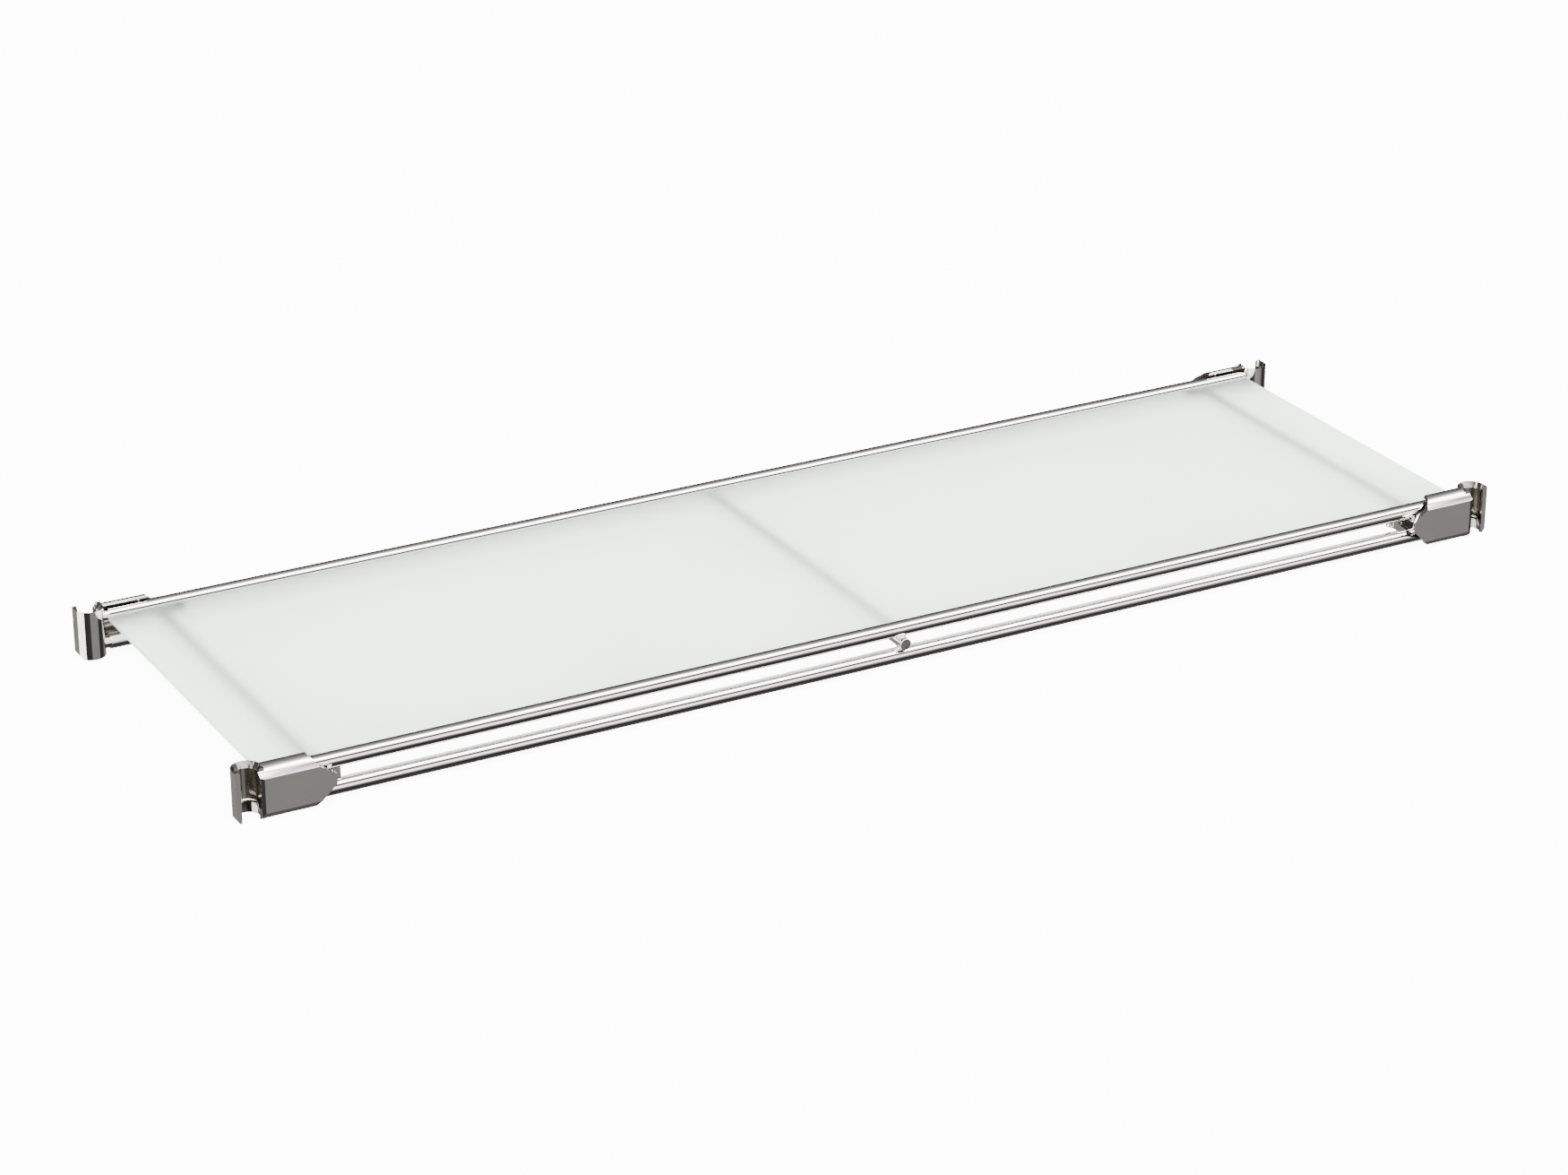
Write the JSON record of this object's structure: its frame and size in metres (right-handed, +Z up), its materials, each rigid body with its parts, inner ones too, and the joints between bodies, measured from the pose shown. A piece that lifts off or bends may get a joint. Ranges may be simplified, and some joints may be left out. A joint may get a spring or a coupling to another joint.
{
  "type": "post mounted shelf",
  "caption": "Long frosted glass shelf on paired chromed rails, with a cast corner bracket at each end that clips round an upright post.",
  "frame": {"origin": "middle of the base, level with the lower ends of the four sleeves", "axes": "+X along the shelf to the right seen from the front, +Y from front to back, +Z up"},
  "size_m": [1.2208, 0.3772, 0.0454],
  "materials": {
    "frosted_glass": "frosted, nearly opaque, faintly green",
    "tube_chrome": "bright polished chrome over drawn tube",
    "cast_chrome": "polished chrome over a zinc casting, slightly wavy",
    "bumper_rubber": "matt dark grey rubber",
    "plug_plastic": "matt black plastic"
  },
  "bodies": {
    "frame": {"front_top_rail": "tube_chrome", "front_bottom_rail": "tube_chrome", "back_top_rail": "tube_chrome", "back_bottom_rail": "tube_chrome", "left_cross_bar": "tube_chrome", "middle_cross_bar": "tube_chrome", "right_cross_bar": "tube_chrome", "left_cross_bar_front_plug": "plug_plastic", "left_cross_bar_back_plug": "plug_plastic", "middle_cross_bar_front_plug": "plug_plastic", "middle_cross_bar_back_plug": "plug_plastic", "right_cross_bar_front_plug": "plug_plastic", "right_cross_bar_back_plug": "plug_plastic", "front_left_corner_casting": "cast_chrome", "front_right_corner_casting": "cast_chrome", "back_left_corner_casting": "cast_chrome", "back_right_corner_casting": "cast_chrome", "front_left_bumper": "bumper_rubber", "front_right_bumper": "bumper_rubber", "back_left_bumper": "bumper_rubber", "back_right_bumper": "bumper_rubber"},
    "panel": {"glass_panel": "frosted_glass"}
  },
  "joints": [
    {"name": "panel_lift", "type": "slide", "parent": "frame", "child": "panel", "axis": [0, 0, 1], "range_m": [0, 0.06]}
  ]
}
